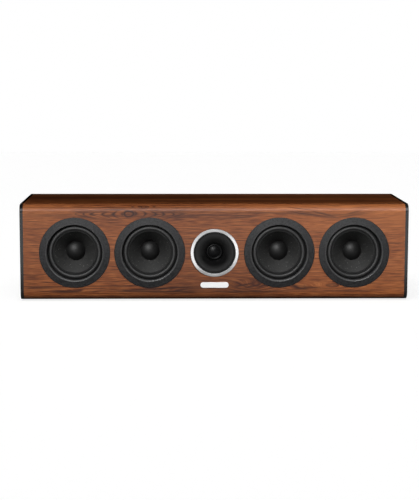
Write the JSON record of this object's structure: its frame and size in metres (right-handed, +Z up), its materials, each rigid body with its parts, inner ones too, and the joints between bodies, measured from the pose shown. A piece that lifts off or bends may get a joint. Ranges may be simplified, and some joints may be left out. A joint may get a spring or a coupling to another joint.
{
  "type": "center channel speaker",
  "caption": "Low wide veneered loudspeaker with ringed woofers either side of a horn-loaded dome tweeter, black end panels, rear ports and binding posts.",
  "frame": {"origin": "on the floor under the middle of the cabinet's box", "axes": "+X to the right seen from the front, -Y out of the front, +Z up"},
  "size_m": [0.822, 0.254, 0.2065],
  "materials": {
    "veneer": "satin lacquered veneer",
    "black_lacquer": "satin black lacquer",
    "bare_board": "raw fibreboard",
    "foot_rubber": "matte",
    "badge_metal": "fine brushed",
    "ring_plastic": "fine grain",
    "basket_metal": "black powder coat",
    "surround_rubber": "satin",
    "cone_paper": "coated paper pulp",
    "cap_cloth": "satin",
    "coil_copper": "wound wire on a foil former",
    "spider_cloth": "resin cloth",
    "plated_steel": "zinc plated",
    "ferrite": "sintered",
    "screw_steel": "black",
    "tweeter_metal": "fine machined",
    "horn_plastic": "smooth satin",
    "dome_cloth": "coated cloth",
    "port_plastic": "fine grain",
    "post_brass": "gold plated",
    "red_plastic": "clear gloss",
    "black_plastic": "gloss",
    "circuit_board": "solder mask",
    "spacer_nylon": "moulded",
    "inductor_copper": "enamelled wire",
    "capacitor_film": "sleeved",
    "resistor_cement": "ceramic",
    "lead_sleeve": "insulated wire"
  },
  "bodies": {
    "cabinet": {"front_baffle": "veneer", "top_panel": "veneer", "bottom_panel": "veneer", "left_side_panel": "black_lacquer", "right_side_panel": "black_lacquer", "rear_panel": "black_lacquer", "chamber_dividers": "bare_board", "rubber_feet": "foot_rubber", "badge_plate": "badge_metal", "outer_left_trim_ring": "ring_plastic", "inner_left_trim_ring": "ring_plastic", "inner_right_trim_ring": "ring_plastic", "outer_right_trim_ring": "ring_plastic", "outer_left_basket": "basket_metal", "inner_left_basket": "basket_metal", "inner_right_basket": "basket_metal", "outer_right_basket": "basket_metal", "outer_left_surround": "surround_rubber", "inner_left_surround": "surround_rubber", "inner_right_surround": "surround_rubber", "outer_right_surround": "surround_rubber", "woofer_spiders": "spider_cloth", "woofer_top_plates": "plated_steel", "woofer_yokes": "plated_steel", "tweeter_top_plate": "plated_steel", "tweeter_yoke": "plated_steel", "woofer_magnets": "ferrite", "tweeter_magnet": "ferrite", "woofer_screws": "screw_steel", "small_screws": "screw_steel", "tweeter_ring": "tweeter_metal", "tweeter_horn": "horn_plastic", "tweeter_dome": "dome_cloth", "left_port": "port_plastic", "right_port": "port_plastic", "terminal_cup": "port_plastic", "binding_posts": "post_brass", "crossover_board": "circuit_board", "board_spacers": "spacer_nylon", "crossover_inductors": "inductor_copper", "crossover_capacitors": "capacitor_film", "crossover_resistors": "resistor_cement", "hookup_leads": "lead_sleeve"},
    "outer_left_motion": {"outer_left_cone": "cone_paper", "outer_left_dust_cap": "cap_cloth", "outer_left_voice_coil": "coil_copper"},
    "inner_left_motion": {"inner_left_cone": "cone_paper", "inner_left_dust_cap": "cap_cloth", "inner_left_voice_coil": "coil_copper"},
    "inner_right_motion": {"inner_right_cone": "cone_paper", "inner_right_dust_cap": "cap_cloth", "inner_right_voice_coil": "coil_copper"},
    "outer_right_motion": {"outer_right_cone": "cone_paper", "outer_right_dust_cap": "cap_cloth", "outer_right_voice_coil": "coil_copper"},
    "tweeter_motion": {"tweeter_coil": "coil_copper"},
    "red_collar": {"red_collar": "post_brass"},
    "red_cap": {"red_cap": "red_plastic"},
    "black_collar": {"black_collar": "post_brass"},
    "black_cap": {"black_cap": "black_plastic"}
  },
  "joints": [
    {"name": "outer_left_cone_travel", "type": "slide", "parent": "cabinet", "child": "outer_left_motion", "axis": [0, -1, 0], "range_m": [-0.004, 0.004], "stiffness_N_per_m": 1100, "deforming": ["outer_left_surround", "woofer_spiders"]},
    {"name": "inner_left_cone_travel", "type": "slide", "parent": "cabinet", "child": "inner_left_motion", "axis": [0, -1, 0], "range_m": [-0.004, 0.004], "stiffness_N_per_m": 1100, "deforming": ["inner_left_surround", "woofer_spiders"]},
    {"name": "inner_right_cone_travel", "type": "slide", "parent": "cabinet", "child": "inner_right_motion", "axis": [0, -1, 0], "range_m": [-0.004, 0.004], "stiffness_N_per_m": 1100, "deforming": ["inner_right_surround", "woofer_spiders"]},
    {"name": "outer_right_cone_travel", "type": "slide", "parent": "cabinet", "child": "outer_right_motion", "axis": [0, -1, 0], "range_m": [-0.004, 0.004], "stiffness_N_per_m": 1100, "deforming": ["outer_right_surround", "woofer_spiders"]},
    {"name": "tweeter_dome_travel", "type": "slide", "parent": "cabinet", "child": "tweeter_motion", "axis": [0, -1, 0], "range_m": [-0.0004, 0.0004], "stiffness_N_per_m": 2000, "deforming": ["tweeter_dome"]},
    {"name": "red_collar_slide", "type": "slide", "parent": "cabinet", "child": "red_collar", "axis": [0, 1, 0], "range_m": [0, 0.003]},
    {"name": "red_cap_turn", "type": "hinge", "parent": "red_collar", "child": "red_cap", "pos_m": [-0.019, 0.0963, 0.1033], "axis": [0, 1, 0], "range_deg": [0, 1080]},
    {"name": "black_collar_slide", "type": "slide", "parent": "cabinet", "child": "black_collar", "axis": [0, 1, 0], "range_m": [0, 0.003]},
    {"name": "black_cap_turn", "type": "hinge", "parent": "black_collar", "child": "black_cap", "pos_m": [0.019, 0.0963, 0.1033], "axis": [0, 1, 0], "range_deg": [0, 1080]}
  ],
  "couplings": [
    {"joint": "red_cap_turn", "follows": "red_collar_slide", "rad_per_m": 6283},
    {"joint": "black_cap_turn", "follows": "black_collar_slide", "rad_per_m": 6283}
  ]
}
